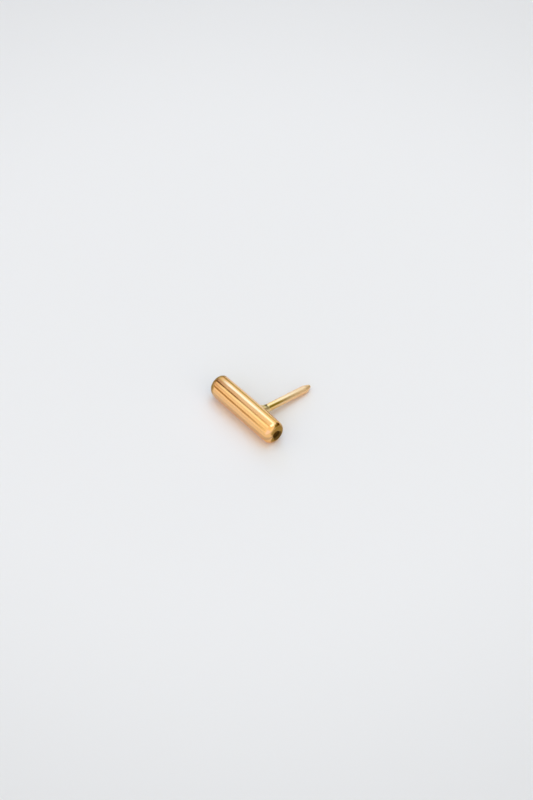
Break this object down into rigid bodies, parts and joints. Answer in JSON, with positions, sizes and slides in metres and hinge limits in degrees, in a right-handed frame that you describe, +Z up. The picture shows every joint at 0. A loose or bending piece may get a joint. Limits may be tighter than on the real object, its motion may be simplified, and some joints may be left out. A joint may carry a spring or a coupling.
{
  "type": "flat back stud earring, bar-shaped push-pin top",
  "caption": "Short round polished gold bar with an open bore and rounded ends, and a tapered push pin standing out of its side for a flat back post.",
  "frame": {"origin": "on the surface that the stud lies on, below the middle of the whole stud", "axes": "+X along the bar, towards the end that the pin is nearer to; +Y the way the pin points; +Z up, away from the surface"},
  "size_m": [0.0078, 0.0074, 0.0021],
  "materials": {
    "polished_gold": "polished"
  },
  "bodies": {
    "root": {"bar_stud": "polished_gold"}
  },
  "joints": []
}
